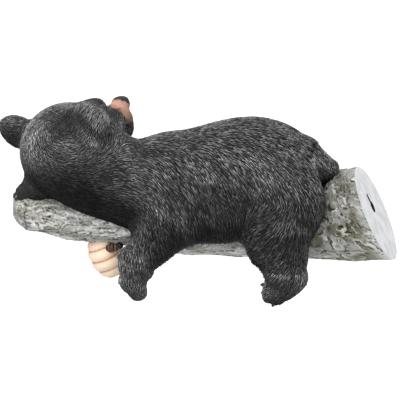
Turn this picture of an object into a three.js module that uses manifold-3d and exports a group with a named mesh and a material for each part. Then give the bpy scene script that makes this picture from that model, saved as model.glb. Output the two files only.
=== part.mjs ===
// Cast resin bear cub lying along a bark branch, with a small coiled beehive hung below it.
// It hangs on a wall by a keyhole in the branch's flat sawn end.
// Millimetres, +Z up. The figure is laid out as it lies in the photograph, the branch along X
// with the bear's head at -X, and is then turned as a whole so that the sawn end stands upright
// against the wall, facing +X, with the origin at the middle of that face.
import * as THREE from 'three';
import { mergeVertices } from 'three/addons/utils/BufferGeometryUtils.js';
import loadManifold from 'manifold-3d';

const wasm = await loadManifold();
wasm.setup();

const v = (x, y, z) => new THREE.Vector3(x, y, z);
const X_AXIS = v(1, 0, 0);
const Y_AXIS = v(0, 1, 0);
const Z_AXIS = v(0, 0, 1);
const BOTH_SIDES = [-1, 1];

// Driving sizes
const HANG_ANGLE = THREE.MathUtils.degToRad(25);
const SAWN_YAW = THREE.MathUtils.degToRad(7);
const CASTING_GAP = 0.4;
const SHORTEST_EDGE = 0.8;

const BRANCH_TIP_X = -187;
const BRANCH_TIP_ROUNDING = 14;
const SAWN_CENTRE = v(176, 0, -14);
const SAWN_RADIUS = 50;
const BRANCH_RINGS = 34;
const BRANCH_SIDES = 28;
const BARK_DEPTH = 1.1;
// Middle height and radius of the branch, from its tip to the sawn end
const BRANCH_STATIONS = [
  { x: -187, z: -8, r: 21 },
  { x: -100, z: -22, r: 22 },
  { x: 0, z: -34, r: 22 },
  { x: 60, z: -35, r: 24 },
  { x: 105, z: -26, r: 33 },
  { x: 150, z: -15, r: 47 },
  { x: 176, z: -14, r: SAWN_RADIUS },
];

const KEYHOLE_HEAD_RADIUS = 6;
const KEYHOLE_SLOT_RADIUS = 2.6;
const KEYHOLE_HEAD_UP = 7.5;
const KEYHOLE_SLOT_LENGTH = 12.5;
const KEYHOLE_PLATE = 3;
const KEYHOLE_DEPTH = 11;

const HIVE_CENTRE = v(-94, 0, -58);
const HIVE_RADIUS = 16;
const HIVE_HALF_HEIGHT = 23.5;
const HIVE_COILS = 6;
const HIVE_COIL_DEPTH = 1.3;
const HIVE_TILT = THREE.MathUtils.degToRad(-24);
const HIVE_SIDES = 20;
const BEE_PLACE = v(-88, -13, -46);

// The head's own frame: the way it faces, its crown and its right side
const HEAD_CENTRE = v(-129, 2, 50);
const HEAD_FACING = v(0.58, 0.73, 0.35).normalize();
const HEAD_CROWN = v(-0.4, -0.135, 0.902).projectOnPlane(HEAD_FACING).normalize();
const HEAD_RIGHT = v(0, 0, 0).crossVectors(HEAD_FACING, HEAD_CROWN);
const HEAD_AXES = [HEAD_FACING, HEAD_CROWN, HEAD_RIGHT];

const EAR_REACH = 56;
// Which way each ear points out of the skull, the left one first
const EAR_LEANS = [
  { crown: 0.52, right: -0.83, facing: -0.17 },
  { crown: 0.6, right: 0.8, facing: 0.08 },
];
const EAR_RADII = v(22, 20, 9.5);
const EAR_HOLLOW_RADII = v(15, 13, 6);

// Spacing of the grid that the bear's form is turned into facets on
const GRID_LOW = v(-212, -72, -112);
const GRID_HIGH = v(150, 86, 116);
const HEAD_CELL = 6.3;
const BODY_CELL = 10.5;
const ACROSS_CELL = 7.8;
const PAW_CELL = 5.2;
const MIDDLE_CELL = 9;
const HEAD_END_X = -70;
const HEAD_START_Z = 25;
const PAW_TOP_Z = -58;

// Distance functions of the simple forms that the bear is modelled from

function ellipsoid(centre, radii, axes = [X_AXIS, Y_AXIS, Z_AXIS]) {
  const offset = v(0, 0, 0);
  const scaled = v(0, 0, 0);
  return (point) => {
    offset.subVectors(point, centre);
    scaled.set(offset.dot(axes[0]), offset.dot(axes[1]), offset.dot(axes[2])).divide(radii);
    const reach = scaled.length();
    const slope = scaled.divide(radii).length();
    return (reach * (reach - 1)) / Math.max(slope, 1e-9);
  };
}

function roundCone(start, end, startRadius, endRadius) {
  const along = v(0, 0, 0).subVectors(end, start);
  const length = along.length();
  along.divideScalar(length);
  const taper = (startRadius - endRadius) / length;
  const lean = taper / Math.sqrt(1 - taper * taper);
  const offset = v(0, 0, 0);
  return (point) => {
    offset.subVectors(point, start);
    const run = offset.dot(along);
    const out = Math.sqrt(Math.max(offset.lengthSq() - run * run, 0));
    const share = THREE.MathUtils.clamp((run + out * lean) / length, 0, 1);
    return Math.hypot(out, run - share * length) - THREE.MathUtils.lerp(startRadius, endRadius, share);
  };
}

function softJoin(first, second, softness) {
  return (point) => {
    const a = first(point);
    const b = second(point);
    const overlap = Math.max(softness - Math.abs(a - b), 0);
    return Math.min(a, b) - (overlap * overlap) / (4 * softness);
  };
}

function softCut(body, tool, softness) {
  const hollowed = softJoin((point) => -body(point), tool, softness);
  return (point) => -hollowed(point);
}

// The bear's form, piece by piece

const onHead = (facing, crown, right) => HEAD_CENTRE.clone()
  .addScaledVector(HEAD_FACING, facing)
  .addScaledVector(HEAD_CROWN, crown)
  .addScaledVector(HEAD_RIGHT, right);

function ear(lean) {
  const outward = v(0, 0, 0)
    .addScaledVector(HEAD_CROWN, lean.crown)
    .addScaledVector(HEAD_RIGHT, lean.right)
    .addScaledVector(HEAD_FACING, lean.facing)
    .normalize();
  const opening = HEAD_FACING.clone().projectOnPlane(outward).normalize();
  const across = v(0, 0, 0).crossVectors(outward, opening);
  const axes = [outward, across, opening];
  const middle = HEAD_CENTRE.clone().addScaledVector(outward, EAR_REACH);
  const hollow = middle.clone().addScaledVector(outward, 5).addScaledVector(opening, 9.5);
  return softCut(ellipsoid(middle, EAR_RADII, axes), ellipsoid(hollow, EAR_HOLLOW_RADII, axes), 3);
}

function head() {
  let form = ellipsoid(HEAD_CENTRE, v(48, 49, 52), HEAD_AXES);
  for (const side of BOTH_SIDES) {
    const cheek = ellipsoid(onHead(14, -16, 28 * side), v(26, 24, 24), HEAD_AXES);
    const browUp = side > 0 ? 26 : 20;
    const brow = ellipsoid(onHead(35, browUp, 17 * side), v(14, 11, 14), HEAD_AXES);
    form = softJoin(form, cheek, 14);
    form = softJoin(form, brow, 10);
  }
  const muzzle = roundCone(onHead(32, -8, 0), onHead(70, -9, 0), 25, 17);
  const chin = ellipsoid(onHead(65, -21, 0), v(18, 10, 14), HEAD_AXES);
  const nose = ellipsoid(onHead(85, 1, 0), v(8, 8, 11), HEAD_AXES);
  form = softJoin(form, muzzle, 10);
  form = softJoin(form, chin, 6);
  form = softJoin(form, nose, 4);
  for (const lean of EAR_LEANS) {
    form = softJoin(form, ear(lean), 7);
  }
  return form;
}

function trunk() {
  let form = ellipsoid(v(-31, 0, 19), v(50, 46, 48.5));
  form = softJoin(form, ellipsoid(v(12, 0, 21.5), v(60, 48, 48.5)), 20);
  form = softJoin(form, ellipsoid(v(51, 0, 28), v(70.5, 52, 56)), 20);
  for (const side of BOTH_SIDES) {
    form = softJoin(form, ellipsoid(v(8, 26 * side, -7), v(62, 24, 27)), 16);
  }
  const neck = roundCone(v(-100, 0, 27), v(-45, 0, 7), 42, 43);
  const throatTuft = ellipsoid(onHead(36, -44, 8), v(22, 17, 24), HEAD_AXES);
  const tail = roundCone(v(104, 0, 49), v(125, -2, 33), 16, 12.5);
  form = softJoin(form, neck, 14);
  form = softJoin(form, throatTuft, 10);
  return softJoin(form, tail, 8);
}

// A hind leg hangs beside the branch, its foot turned flat to the side with the toes forward
function addHindLeg(form, side) {
  const shinAxes = [v(-0.836, 0, -0.548).normalize(), Y_AXIS, v(0.548, 0, -0.836).normalize()];
  const footAxes = [v(0.82, 0, 0.57).normalize(), Y_AXIS, v(-0.57, 0, 0.82).normalize()];
  const footCentre = v(84, 45 * side, -75);
  let joined = softJoin(form, ellipsoid(v(84, 36 * side, 8), v(39, 25, 44)), 14);
  joined = softJoin(joined, roundCone(v(84, 40 * side, -22), v(85, 44 * side, -60), 27, 19.5), 10);
  joined = softJoin(joined, ellipsoid(v(74, 39 * side, -34), v(26, 20, 38), shinAxes), 10);
  joined = softJoin(joined, ellipsoid(footCentre, v(25, 14, 14), footAxes), 6);
  const toes = 5;
  const firstToeTurn = 2.65;
  const toeTurnStep = 0.36;
  for (let toe = 0; toe < toes; toe += 1) {
    const turn = firstToeTurn + toe * toeTurnStep;
    const place = v(88 + 18.5 * Math.cos(turn), 46 * side, -76.5 + 15.5 * Math.sin(turn));
    joined = softJoin(joined, ellipsoid(place, v(6.5, 6.5, 5)), 3);
  }
  return joined;
}

// The near arm hangs straight down, and the far one reaches forward along the branch
function addArms(form) {
  let joined = softJoin(form, roundCone(v(-35, -30, -18), v(-62, -36, -54), 32, 18), 14);
  joined = softJoin(joined, roundCone(v(-62, -36, -52), v(-67, -38, -72), 18, 13), 6);
  joined = softJoin(joined, roundCone(v(-66, -38, -72), v(-62, -38, -84), 13, 9), 6);
  joined = softJoin(joined, roundCone(v(-50, 34, 8), v(-100, 34, 0), 28, 20), 14);
  joined = softJoin(joined, roundCone(v(-100, 34, 0), v(-160, 12, 10), 19, 14), 10);
  joined = softJoin(joined, ellipsoid(v(-166, 2, 10), v(14, 18, 10)), 6);
  const toes = 4;
  for (let toe = 0; toe < toes; toe += 1) {
    const sweep = (toe + 0.5) / toes - 0.5;
    const place = v(-178 + 14 * sweep * sweep, 2 + 27 * sweep, 7);
    joined = softJoin(joined, ellipsoid(place, v(7, 5, 7)), 3);
  }
  return joined;
}

function bearForm() {
  let form = trunk();
  for (const side of BOTH_SIDES) {
    form = addHindLeg(form, side);
  }
  form = addArms(form);
  return softJoin(form, head(), 16);
}

// Facets of a form, found on a grid: one corner in each cell that the surface passes through

function gridLines(low, high, cellAt) {
  const lines = [low];
  while (lines.at(-1) < high) {
    lines.push(lines.at(-1) + cellAt(lines.at(-1)));
  }
  return lines;
}

function surfaceOf(distance, linesX, linesY, linesZ) {
  const lines = [linesX, linesY, linesZ];
  const counts = lines.map((list) => list.length);
  const strides = [1, counts[0], counts[0] * counts[1]];
  const index = (i, j, k) => i + j * strides[1] + k * strides[2];
  const field = new Float64Array(counts[0] * counts[1] * counts[2]);
  const point = v(0, 0, 0);
  for (let k = 0; k < counts[2]; k += 1) {
    for (let j = 0; j < counts[1]; j += 1) {
      for (let i = 0; i < counts[0]; i += 1) {
        field[index(i, j, k)] = distance(point.set(linesX[i], linesY[j], linesZ[k]));
      }
    }
  }
  const corners = [];
  const cornerOfCell = new Int32Array(field.length).fill(-1);
  for (let k = 0; k < counts[2] - 1; k += 1) {
    for (let j = 0; j < counts[1] - 1; j += 1) {
      for (let i = 0; i < counts[0] - 1; i += 1) {
        const corner = crossingMiddle(field, lines, strides, [i, j, k]);
        if (corner) {
          cornerOfCell[index(i, j, k)] = corners.length;
          corners.push(settle(corner, distance));
        }
      }
    }
  }
  const faces = [];
  for (let axis = 0; axis < 3; axis += 1) {
    const side = strides[(axis + 1) % 3];
    const up = strides[(axis + 2) % 3];
    for (let cell = side + up; cell < field.length - strides[axis]; cell += 1) {
      const startsInside = field[cell] < 0;
      if (startsInside === field[cell + strides[axis]] < 0) continue;
      const around = [cell - side - up, cell - up, cell, cell - side].map((at) => cornerOfCell[at]);
      if (!startsInside) around.reverse();
      faces.push(...splitQuad(around, corners));
    }
  }
  const geometry = new THREE.BufferGeometry();
  const positions = corners.flatMap((corner) => corner.toArray());
  geometry.setAttribute('position', new THREE.Float32BufferAttribute(positions, 3));
  geometry.setIndex(faces);
  return geometry;
}

// Mean of the places where the surface crosses a cell's twelve edges, or null if it crosses none
function crossingMiddle(field, lines, strides, cell) {
  const sum = v(0, 0, 0);
  let crossings = 0;
  for (let axis = 0; axis < 3; axis += 1) {
    const second = (axis + 1) % 3;
    const third = (axis + 2) % 3;
    for (let edge = 0; edge < 4; edge += 1) {
      const at = [...cell];
      at[second] += edge & 1;
      at[third] += edge >> 1;
      const start = at[0] + at[1] * strides[1] + at[2] * strides[2];
      const low = field[start];
      const high = field[start + strides[axis]];
      if (low < 0 === high < 0) continue;
      const place = at.map((step, which) => lines[which][step]);
      place[axis] = THREE.MathUtils.lerp(place[axis], lines[axis][at[axis] + 1], low / (low - high));
      sum.add(v(...place));
      crossings += 1;
    }
  }
  return crossings ? sum.divideScalar(crossings) : null;
}

function slopeOf(distance, point) {
  const step = 0.25;
  const difference = (axis) => distance(point.clone().addScaledVector(axis, step))
    - distance(point.clone().addScaledVector(axis, -step));
  return v(difference(X_AXIS), difference(Y_AXIS), difference(Z_AXIS)).divideScalar(2 * step);
}

// Moves a corner onto the true surface
function settle(corner, distance) {
  const passes = 3;
  const longestMove = 1.5;
  for (let pass = 0; pass < passes; pass += 1) {
    const slope = slopeOf(distance, corner);
    const move = -distance(corner) / Math.max(slope.lengthSq(), 0.25);
    corner.add(slope.multiplyScalar(move).clampLength(0, longestMove));
  }
  return corner;
}

function splitQuad([a, b, c, d], corners) {
  const acrossFirst = corners[a].distanceToSquared(corners[c]);
  const acrossSecond = corners[b].distanceToSquared(corners[d]);
  return acrossFirst <= acrossSecond ? [a, b, c, a, c, d] : [b, c, d, b, d, a];
}

// Solids are joined and cut as closed bodies, and come back as geometry with flat facets

function solidOf(geometry) {
  const bare = new THREE.BufferGeometry();
  bare.setAttribute('position', geometry.getAttribute('position').clone());
  if (geometry.index) bare.setIndex(geometry.index.clone());
  const merged = mergeVertices(bare, 1e-4);
  return new wasm.Manifold(new wasm.Mesh({
    numProp: 3,
    vertProperties: new Float32Array(merged.getAttribute('position').array),
    triVerts: new Uint32Array(merged.index.array),
  }));
}

function largestBody(solid) {
  const bodies = solid.decompose();
  return bodies.reduce((best, body) => (body.volume() > best.volume() ? body : best));
}

// Slivers along a cut go: each edge that is too short is folded to one corner,
// wherever the faces around it then still meet two by two
function foldShortEdges(corners, faces) {
  const facesAt = corners.map(() => new Set());
  faces.forEach((face, which) => face.forEach((corner) => facesAt[corner].add(which)));
  const neighbours = (corner) => new Set([...facesAt[corner]].flatMap((which) => faces[which]));
  const fold = (kept, gone) => {
    for (const which of facesAt[gone]) {
      if (faces[which].includes(kept)) {
        faces[which].forEach((corner) => corner !== gone && facesAt[corner].delete(which));
        faces[which] = [];
      } else {
        faces[which] = faces[which].map((corner) => (corner === gone ? kept : corner));
        facesAt[kept].add(which);
      }
    }
    facesAt[gone].clear();
  };
  for (let which = 0; which < faces.length; which += 1) {
    for (let side = 0; side < faces[which].length; side += 1) {
      const kept = faces[which][side];
      const gone = faces[which][(side + 1) % 3];
      if (corners[kept].distanceTo(corners[gone]) > SHORTEST_EDGE) continue;
      const beside = neighbours(gone);
      const shared = [...neighbours(kept)].filter((corner) => beside.has(corner));
      if (shared.length === 4) fold(kept, gone);
    }
  }
  return faces.filter((face) => face.length === 3);
}

function geometryOf(solid) {
  const mesh = solid.getMesh();
  const corners = [];
  for (let at = 0; at < mesh.vertProperties.length; at += mesh.numProp) {
    corners.push(v(...mesh.vertProperties.slice(at, at + 3)));
  }
  const faces = [];
  for (let at = 0; at < mesh.triVerts.length; at += 3) {
    faces.push(Array.from(mesh.triVerts.slice(at, at + 3)));
  }
  const kept = foldShortEdges(corners, faces);
  const positions = kept.flat().flatMap((corner) => corners[corner].toArray());
  const geometry = new THREE.BufferGeometry();
  geometry.setAttribute('position', new THREE.Float32BufferAttribute(positions, 3));
  geometry.computeVertexNormals();
  return geometry;
}

// The branch: rings of bark along a gently bent line, closed by a rounded tip and the sawn face

// The sawn face leans back by the hang angle and is turned a little to the near side
const SAWN_UP = v(-Math.sin(HANG_ANGLE), 0, Math.cos(HANG_ANGLE));
const SAWN_ACROSS = v(0, 1, 0).applyAxisAngle(SAWN_UP, -SAWN_YAW);
const SAWN_OUT = v(0, 0, 0).crossVectors(SAWN_ACROSS, SAWN_UP);

const smoothStep = (value) => THREE.MathUtils.smoothstep(value, 0, 1);

function branchAt(x) {
  const next = Math.max(1, BRANCH_STATIONS.findIndex((station) => station.x >= x));
  const before = BRANCH_STATIONS[next - 1];
  const after = BRANCH_STATIONS[next];
  const share = smoothStep((x - before.x) / (after.x - before.x));
  const tipShare = THREE.MathUtils.clamp((x - BRANCH_TIP_X) / BRANCH_TIP_ROUNDING, 0, 1);
  const tipRound = Math.sqrt(1 - (1 - tipShare) ** 2 * 0.8);
  return {
    z: THREE.MathUtils.lerp(before.z, after.z, share),
    r: THREE.MathUtils.lerp(before.r, after.r, share) * tipRound,
  };
}

// Long plates of bark with furrows between them that wander along the branch
function barkHeight(x, turn) {
  const wander = 0.5 * Math.sin(x / 23) + 0.35 * Math.sin(x / 11 + 2 * turn);
  const plates = Math.cos(7 * turn + 2.2 * wander);
  const breaks = Math.cos(x / 6.5 + 3 * turn + 2 * Math.sin(2 * turn));
  return BARK_DEPTH * (0.75 * plates + 0.45 * breaks);
}

function branchGeometry(grow) {
  const squareLength = 60;
  const positions = [];
  for (let ring = 0; ring < BRANCH_RINGS; ring += 1) {
    const share = ring / (BRANCH_RINGS - 1);
    const x = THREE.MathUtils.lerp(BRANCH_TIP_X, SAWN_CENTRE.x, share);
    const station = branchAt(x);
    const turnedShare = smoothStep(1 - (SAWN_CENTRE.x - x) / squareLength);
    const up = v(0, 0, 1).lerp(SAWN_UP, turnedShare).normalize();
    const across = v(0, 1, 0).lerp(SAWN_ACROSS, turnedShare).normalize();
    const barkShare = Math.min(1, (SAWN_CENTRE.x - x) / 12);
    for (let side = 0; side < BRANCH_SIDES; side += 1) {
      const turn = (2 * Math.PI * side) / BRANCH_SIDES;
      const radius = station.r + barkHeight(x, turn) * barkShare + grow;
      const corner = v(x, 0, station.z)
        .addScaledVector(across, radius * Math.cos(turn))
        .addScaledVector(up, radius * Math.sin(turn));
      positions.push(...corner.toArray());
    }
  }
  const tipMiddle = positions.length / 3;
  positions.push(BRANCH_TIP_X - grow, 0, BRANCH_STATIONS[0].z);
  positions.push(...SAWN_CENTRE.toArray());
  const sawnMiddle = tipMiddle + 1;
  const faces = [];
  for (let side = 0; side < BRANCH_SIDES; side += 1) {
    const next = (side + 1) % BRANCH_SIDES;
    const lastRing = (BRANCH_RINGS - 1) * BRANCH_SIDES;
    faces.push(tipMiddle, next, side);
    faces.push(sawnMiddle, lastRing + side, lastRing + next);
    for (let ring = 0; ring < BRANCH_RINGS - 1; ring += 1) {
      const here = ring * BRANCH_SIDES;
      const there = here + BRANCH_SIDES;
      faces.push(here + side, here + next, there + next);
      faces.push(here + side, there + next, there + side);
    }
  }
  const geometry = new THREE.BufferGeometry();
  geometry.setAttribute('position', new THREE.Float32BufferAttribute(positions, 3));
  geometry.setIndex(faces);
  return geometry;
}

// Keyhole outline in the sawn face: x across the face, y up it
function keyholeOutline(slotRadius) {
  const shape = new THREE.Shape();
  const halfNeck = Math.asin(slotRadius / KEYHOLE_HEAD_RADIUS);
  const slotTop = KEYHOLE_HEAD_UP + KEYHOLE_SLOT_LENGTH;
  const startTurn = Math.PI / 2 + halfNeck;
  const endTurn = Math.PI / 2 - halfNeck + 2 * Math.PI;
  shape.absarc(0, KEYHOLE_HEAD_UP, KEYHOLE_HEAD_RADIUS, startTurn, endTurn, false);
  shape.absarc(0, slotTop, slotRadius, 0, Math.PI, false);
  shape.closePath();
  return shape;
}

// A thin slot in the front plate with a wider pocket behind it for the screw's head
function keyholeCut() {
  const proud = 2;
  const pocketRadius = KEYHOLE_HEAD_RADIUS * 0.999;
  const extrude = (outline, depth) => new THREE.ExtrudeGeometry(outline, {
    depth,
    bevelEnabled: false,
    curveSegments: 12,
  });
  const slot = extrude(keyholeOutline(KEYHOLE_SLOT_RADIUS), KEYHOLE_PLATE + proud + 0.5);
  slot.translate(0, 0, -KEYHOLE_PLATE - 0.5);
  const pocket = extrude(keyholeOutline(pocketRadius), KEYHOLE_DEPTH - KEYHOLE_PLATE);
  pocket.translate(0, 0, -KEYHOLE_DEPTH);
  const placed = new THREE.Matrix4().makeBasis(SAWN_ACROSS, SAWN_UP, SAWN_OUT).setPosition(SAWN_CENTRE);
  slot.applyMatrix4(placed);
  pocket.applyMatrix4(placed);
  return solidOf(slot).add(solidOf(pocket));
}

// The hive: a coiled skep turned on its axis, with a bee clinging beside its top

function hiveSolid() {
  const profile = [];
  const stepsPerCoil = 3;
  const steps = HIVE_COILS * stepsPerCoil;
  for (let step = 0; step <= steps; step += 1) {
    const turn = Math.PI * (step / steps);
    const coil = HIVE_COIL_DEPTH * Math.abs(Math.sin((Math.PI * step) / stepsPerCoil));
    const radius = step === 0 || step === steps ? 0 : HIVE_RADIUS * Math.sin(turn) ** 0.8 + coil;
    profile.push(new THREE.Vector2(radius, -HIVE_HALF_HEIGHT * Math.cos(turn)));
  }
  const turned = new THREE.LatheGeometry(profile, HIVE_SIDES);
  turned.rotateX(Math.PI / 2);
  turned.rotateY(HIVE_TILT);
  turned.translate(...HIVE_CENTRE.toArray());
  let solid = solidOf(turned);
  const beeParts = [
    { along: 0, radii: v(6.5, 5.5, 5.5) },
    { along: 6, radii: v(4.5, 4.5, 4.5) },
    { along: 10.5, radii: v(4, 4, 4) },
  ];
  for (const { along, radii } of beeParts) {
    const ball = new THREE.SphereGeometry(1, 10, 7);
    ball.scale(...radii.toArray());
    ball.translate(BEE_PLACE.x + along, BEE_PLACE.y, BEE_PLACE.z - along * 0.1);
    solid = solid.add(solidOf(ball));
  }
  return solid;
}

// Assembly

function bearSolid() {
  const lengthCell = (x) => (x < HEAD_END_X ? HEAD_CELL : BODY_CELL);
  const acrossCell = () => ACROSS_CELL;
  const upperCell = (z) => (z > HEAD_START_Z ? HEAD_CELL : MIDDLE_CELL);
  const heightCell = (z) => (z < PAW_TOP_Z ? PAW_CELL : upperCell(z));
  const linesX = gridLines(GRID_LOW.x, GRID_HIGH.x, lengthCell);
  const linesY = gridLines(GRID_LOW.y, GRID_HIGH.y, acrossCell);
  const linesZ = gridLines(GRID_LOW.z, GRID_HIGH.z, heightCell);
  return solidOf(surfaceOf(bearForm(), linesX, linesY, linesZ));
}

function part(name, solid, colour, roughness) {
  const material = new THREE.MeshStandardMaterial({ color: colour, roughness, metalness: 0 });
  const mesh = new THREE.Mesh(geometryOf(largestBody(solid)), material);
  mesh.name = name;
  return mesh;
}

const grownBranch = solidOf(branchGeometry(CASTING_GAP));
const branch = solidOf(branchGeometry(0)).subtract(keyholeCut());
const hive = hiveSolid().subtract(grownBranch);
const bear = bearSolid().subtract(grownBranch);

const figure = new THREE.Group();
figure.add(part('branch', branch, '#b4b4ac', 0.85));
figure.add(part('bear_cub', bear, '#333335', 0.7));
figure.add(part('beehive', hive, '#ecd2b0', 0.75));
const sawnEnd = new THREE.Matrix4().makeBasis(SAWN_OUT, SAWN_ACROSS, SAWN_UP).setPosition(SAWN_CENTRE);
figure.applyMatrix4(sawnEnd.invert());

const hungFigure = new THREE.Group();
hungFigure.add(figure);

export default hungFigure;
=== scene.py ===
from collections import namedtuple
from functools import partial

import bpy
import numpy as np
from mathutils import Matrix, Vector


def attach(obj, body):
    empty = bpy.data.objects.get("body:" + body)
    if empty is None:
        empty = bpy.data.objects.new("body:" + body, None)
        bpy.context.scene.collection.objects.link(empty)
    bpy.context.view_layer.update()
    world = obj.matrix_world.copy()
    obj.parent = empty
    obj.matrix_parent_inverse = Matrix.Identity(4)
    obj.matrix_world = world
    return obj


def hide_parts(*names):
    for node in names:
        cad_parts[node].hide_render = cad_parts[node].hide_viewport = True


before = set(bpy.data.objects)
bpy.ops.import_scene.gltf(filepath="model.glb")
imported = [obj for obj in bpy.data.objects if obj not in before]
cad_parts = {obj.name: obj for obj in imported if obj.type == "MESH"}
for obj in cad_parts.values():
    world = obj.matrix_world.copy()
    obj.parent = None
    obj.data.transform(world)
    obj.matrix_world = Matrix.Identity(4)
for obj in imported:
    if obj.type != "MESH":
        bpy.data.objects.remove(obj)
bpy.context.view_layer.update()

MILLIMETRE = 0.001
HANG_ANGLE = np.radians(25)
SAWN_YAW = np.radians(7)

# Bear
SKIN_CELL = 2.0
SKIN_LOW = (-212, -76, -112)
SKIN_HIGH = (150, 88, 116)
HEAD_TO_BODY_SOFTNESS = 16
EAR_REACH = 56
EAR_RADII = (22, 20, 9.5)
EAR_HOLLOW_RADII = (15, 13, 6)
EAR_HOLLOW_OUT = 5
EAR_HOLLOW_FORWARD = 9.5
EAR_HOLLOW_SOFTNESS = 3
# Which way each ear points out of the skull: to the crown, the right and the front
EAR_LEANS = {-1: (0.52, -0.83, -0.17), 1: (0.6, 0.8, 0.08)}
NOSE_RADII = (8, 8, 11)
NOSE_PAD_RADII = (6.5, 5.6, 9)
EYE_RADIUS = 5.2
EYE_RIM_INNER = 7
EYE_RIM_OUTER = 9
HIND_TOES = 5
HIND_TOE_START = 2.65
HIND_TOE_STEP = 0.36
HIND_FOOT_MIDDLE = (88, 46, -76.5)
HIND_TOE_REACH = (18.5, 15.5)
PAW_TOES = 4
PAW_MIDDLE = (-178, 2, 7)
PAW_WIDTH = 27
PAW_CURVE = 14
CLAW_REACH = 6.6
CLAW_DROOP = 0.3
CLAW_RADII = (3.4, 2.0, 2.0)
PAW_CLAW_OFFSET = (-6.5, 0, -2.5)
PAW_CLAW_POINTING = (-1, 0, -0.6)
# Rings and sides of the small round pieces
NOSE_DETAIL = (24, 32)
EYE_DETAIL = (16, 24)
CLAW_DETAIL = (8, 10)
BEE_DETAIL = (14, 20)

# Fur: each region's spacing and seed, and a lock's length, width and height
FUR_REGIONS = (("head", 1.15, 3), ("body", 1.3, 13), ("limb", 1.3, 23))
LOCKS_PER_SQUARE_METRE = 1.2e6
LOCK_SIZES = (12.0, 1.5, 1.2)
STRAY_ANGLE = 0.11
FLOW_BLEND = 6.0
# Corners of a lock as shares of its length, width and height, and how near each is to its ridge
LOCK_CORNERS = np.array((
    (-0.05, 0.0, -0.5, 0.2),
    (0.4, 0.5, -0.35, 0.0),
    (0.4, 0.0, 1.0, 1.0),
    (0.4, -0.5, -0.35, 0.0),
    (1.0, 0.0, 0.1, 0.8),
))
# What is drawn at random for each lock, with its least and its most
LOCK_DRAWS = (
    ("stray", -1.0, 1.0),
    ("length", 0.75, 1.25),
    ("width", 0.75, 1.2),
    ("height", 0.7, 1.15),
    ("tone", 0.0, 1.0),
)
HIP_PARTING, HIP_PARTING_WIDTH = 98, 22
# The trunk's height, and how many degrees its fur points down there
TRUNK_TILTS = ((-10, 78), (20, 62), (50, 52), (70, 35), (85, 12))
# How far fur faces up and how high it is, each with the share of grey on it: painted light on fur
# facing up, painted shade on fur facing down, and grey by height
PAINTED_LIGHT_BY_FACING = ((-1, 0.06), (-0.35, 0.2), (0.1, 0.5), (0.45, 0.68), (0.8, 0.45), (1, 0.4))
GREY_BY_HEIGHT = ((-75, 1.8), (-45, 1.2), (-20, 0.8), (30, 1))
LEAST_GREY = 0.03
# How far out from the skin creases are found, to paint shade in them
CREASE_REACH = 9.0
FUR_CLUMPING = 0.28
# Salmon paint: where it starts along the muzzle and below it, and where it ends at the nose
TAN_MARGIN = 9
TAN_ALONG = (64, 77)
TAN_BELOW = (-17, -8)
TAN_NOSE_EDGE = (83, 88)
TAN_NOSE_LEAN = 0.45
TAN_BREAK = 0.3
TAN_EDGE = (0.35, 0.65)

# Branch
BRANCH_RINGS = 400
BRANCH_SIDES = 216
BRANCH_TIP = -187
TIP_HEIGHT = -8
TIP_ROUNDING = 14
TIP_BLUNTNESS = 0.8
SAWN_CENTRE = (176, 0, -14)
SAWN_RADIUS = 50
# Places along the branch, each with the height of its middle and its radius
BRANCH_STATIONS = np.array((
    (BRANCH_TIP, TIP_HEIGHT, 21),
    (-100, -22, 22),
    (0, -34, 22),
    (60, -35, 24),
    (105, -26, 33),
    (150, -15, 47),
    (SAWN_CENTRE[0], SAWN_CENTRE[2], SAWN_RADIUS),
), float)
SQUARE_LENGTH = 60
RIM_FADE = 12
FURROW_DEPTH = 1.1
FURROWS_ROUND = 7
FURROW_BREAK = 6.5
STUB_END = -174
STUB_STEP = 1.6
STUB_TONE = 0.34
TIP_TONE = 0.6
TIP_PAINT_END = -183
STUB_GRAIN = 0.35
STUB_EDGE_DARKER = 1.4
BARK_SINK = 0.6
BARK_TONE = 0.5
FLARE_TOP_DARKER = 0.22
THIN_END_PALER = 0.2
RIM_PALER = 0.12
LEAST_BRUSHED = 0.3
LICHEN_OFF_LIPS = 0.6
LICHEN_OFF_THIN_END = 0.55
FLARE_STARTS, FLARE_FULL = -60, 60
RIM_STARTS, RIM_FULL = 160, 174
FLAKE_BEND = 2.2
FLAKE_SCALE_ON_FLARE = 0.62
# Shares of a layer's rise where its dark gap ends and its pale lip starts and is full
GAP_ENDS = (0.04, 0.17)
LIP_STARTS = (0.62, 0.92)
# How strong a pattern is where flecks and lichen start and are full
FLECK_STARTS = (0.35, 0.6)
LICHEN_STARTS = (0.08, 0.3)
# Bark flakes are drawn out along the thin end and shorter on the flare:
# how far along the branch, and how far along the run of flakes
FLAKE_RUN = ((BRANCH_TIP, -67), (0, 0), (60, 26), (SAWN_CENTRE[0], 105))
# How much each pattern adds to the layers that the bark flakes off in
LAYER_PATTERNS = {"lumps": 1.1, "plates": 0.9, "chips": 0.4}
# How far each layer of the bark stands out, in millimetres
BARK_CARVING = {"rise": 1.0, "lumps": 0.6, "flecks": -0.4, "grain": 0.25}
# How much each layer of the bark lightens its paint on the flare, and how much more on the thin end
BARK_TONES = {
    "lumps": (0.1, 0),
    "lip": (0.3, 0),
    "gap": (-0.45, 0),
    "flecks": (-0.2, -0.2),
    "grain": (0.08, 0.14),
    "streaks": (0.06, 0.12),
}
KEYHOLE_HEAD_RADIUS = 6
KEYHOLE_SLOT_RADIUS = 2.6
KEYHOLE_HEAD_UP = 7.5
KEYHOLE_SLOT_LENGTH = 12.5
KEYHOLE_PLATE = 3
KEYHOLE_DEPTH = 11

# Hive and bee
HIVE_CENTRE = np.array((-94, 0, -58))
HIVE_RADIUS = 16
HIVE_HALF_HEIGHT = 23.5
HIVE_FULLNESS = 0.8
HIVE_COILS = 6
HIVE_COIL_DEPTH = 1.3
HIVE_COIL_STEPS = 10
HIVE_SIDES = 64
HIVE_TILT = np.radians(-24)
HIVE_POLE_WASH = 0.4
BEE_PLACE = np.array((-89, -14, -46))
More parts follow.
